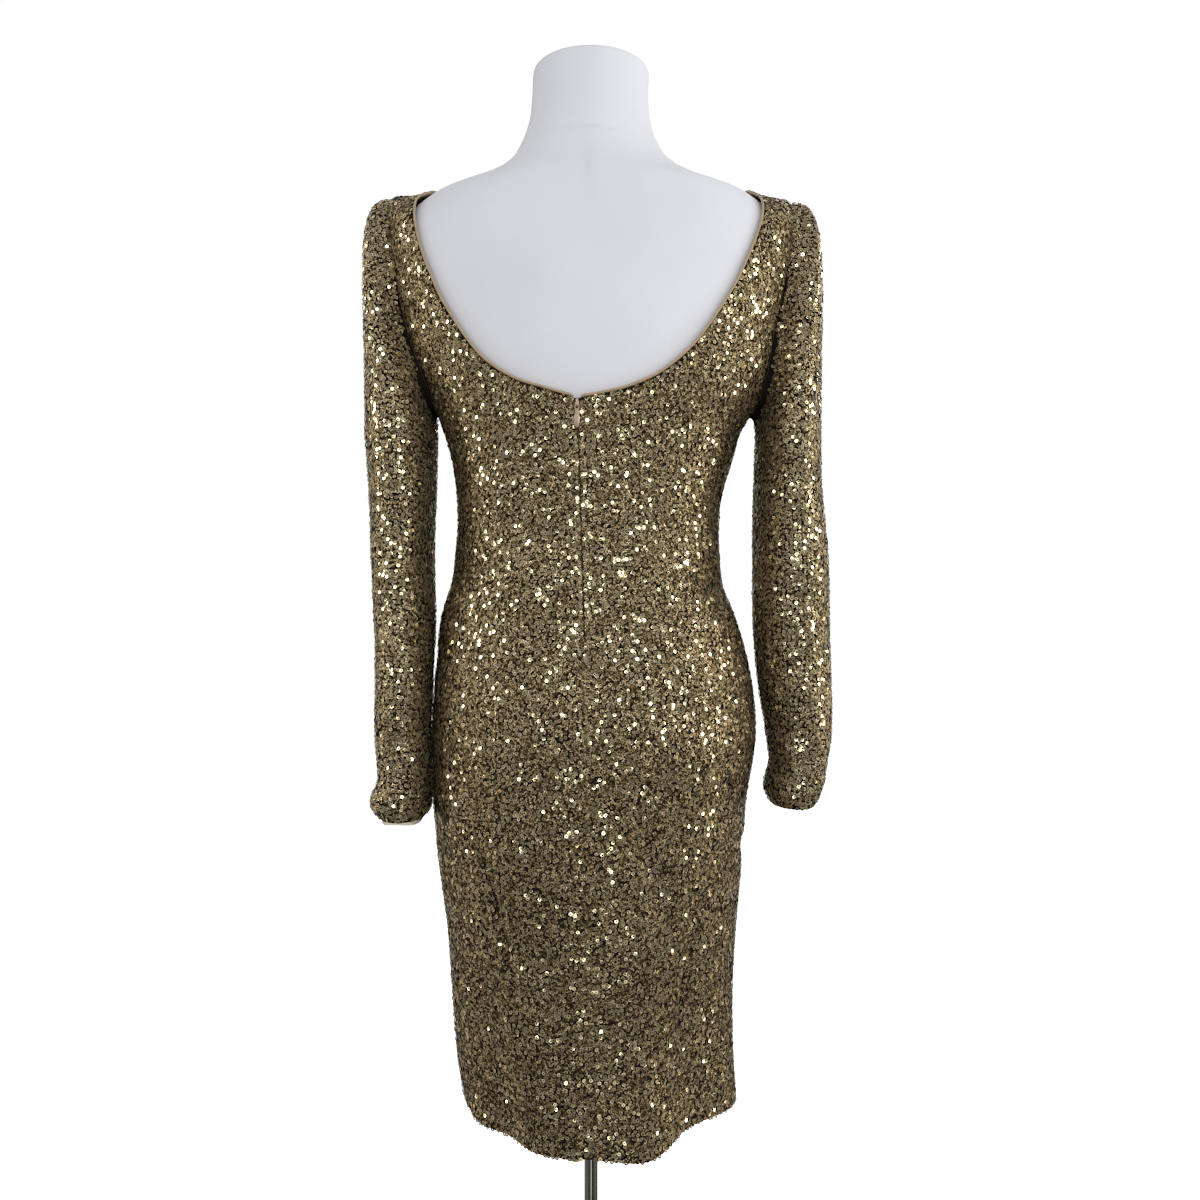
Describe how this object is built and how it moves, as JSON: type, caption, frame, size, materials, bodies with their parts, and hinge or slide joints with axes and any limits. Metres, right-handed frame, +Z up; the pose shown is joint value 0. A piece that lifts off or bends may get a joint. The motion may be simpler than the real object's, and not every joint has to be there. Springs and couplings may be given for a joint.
{
  "type": "long-sleeved sequin cocktail dress on a limbless dress form with pole stand",
  "caption": "Knee-length fitted dress of sequinned net with long sleeves, a deep scooped back and a centre-back zip, on a limbless torso form with a pole and a round base.",
  "frame": {"origin": "centre of the base plate's underside, which stands on the floor", "axes": "+Z up along the pole; the front of the dress faces -Y and its zipped back faces +Y; +X is the wearer's left"},
  "size_m": [0.4499, 0.33, 1.545],
  "materials": {
    "gold_sequins": "net covered with small shiny gold and bronze sequins",
    "beige_satin": "satin",
    "ivory_lining": "matte",
    "white_jersey": "matte",
    "chrome": "polished",
    "rose_metal": "satin paint",
    "zip_tape": "matte"
  },
  "bodies": {
    "dress_and_form": {"front": "gold_sequins", "back_left": "gold_sequins", "back_right": "gold_sequins", "sleeve_left": "gold_sequins", "sleeve_right": "gold_sequins", "neck_binding": "beige_satin", "cuff_lining": "ivory_lining", "hem_lining": "beige_satin", "zip_chain": "zip_tape", "zip_slider": "rose_metal", "form_torso": "white_jersey", "stand_pole": "chrome", "stand_base": "chrome", "stand_collar": "chrome"},
    "pull_tab": {"zip_pull": "rose_metal"}
  },
  "joints": [
    {"name": "pull_swing", "type": "hinge", "parent": "dress_and_form", "child": "pull_tab", "pos_m": [0.01154, 0.10051, 1.2029], "axis": [1, 0, 0], "range_deg": [0, 165]}
  ]
}
